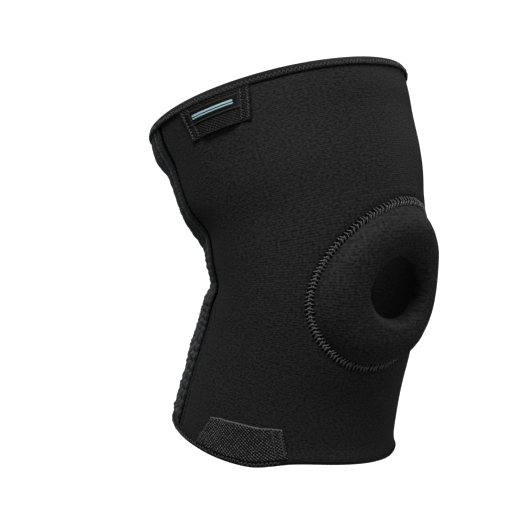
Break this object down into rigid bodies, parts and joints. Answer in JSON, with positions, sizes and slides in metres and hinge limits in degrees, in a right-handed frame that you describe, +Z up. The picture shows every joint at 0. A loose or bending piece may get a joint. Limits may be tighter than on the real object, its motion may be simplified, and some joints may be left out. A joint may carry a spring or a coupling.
{
  "type": "knee sleeve",
  "caption": "Pull-on knee sleeve in the form it has on a slightly bent leg, with a padded opening over the kneecap, a ribbed back panel and pull tabs.",
  "frame": {"origin": "middle of the knee, on the line along which the leg runs through the sleeve", "axes": "+Z up along the knee, the kneecap faces -Y, the wearer's outer side is -X on the right leg"},
  "size_m": [0.1778, 0.211, 0.2743],
  "materials": {
    "neoprene_knit": "fine horizontal knit over neoprene, matt",
    "pad_knit": "fine stretched knit over a foam ring, soft sheen",
    "ribbed_elastic": "gathered elastic knit, matt",
    "binding_tape": "folded elastic tape, cover-stitched",
    "upper_webbing": "woven webbing, matt",
    "lower_webbing": "coarse twill webbing, speckled grey",
    "label_weave": "smooth satin weave with a woven stripe"
  },
  "bodies": {
    "root": {"neoprene_body": "neoprene_knit", "kneecap_pad": "pad_knit", "back_panel": "ribbed_elastic", "top_binding": "binding_tape", "bottom_binding": "binding_tape", "upper_pull_tab": "upper_webbing", "lower_pull_tab": "lower_webbing", "label": "label_weave"}
  },
  "joints": []
}
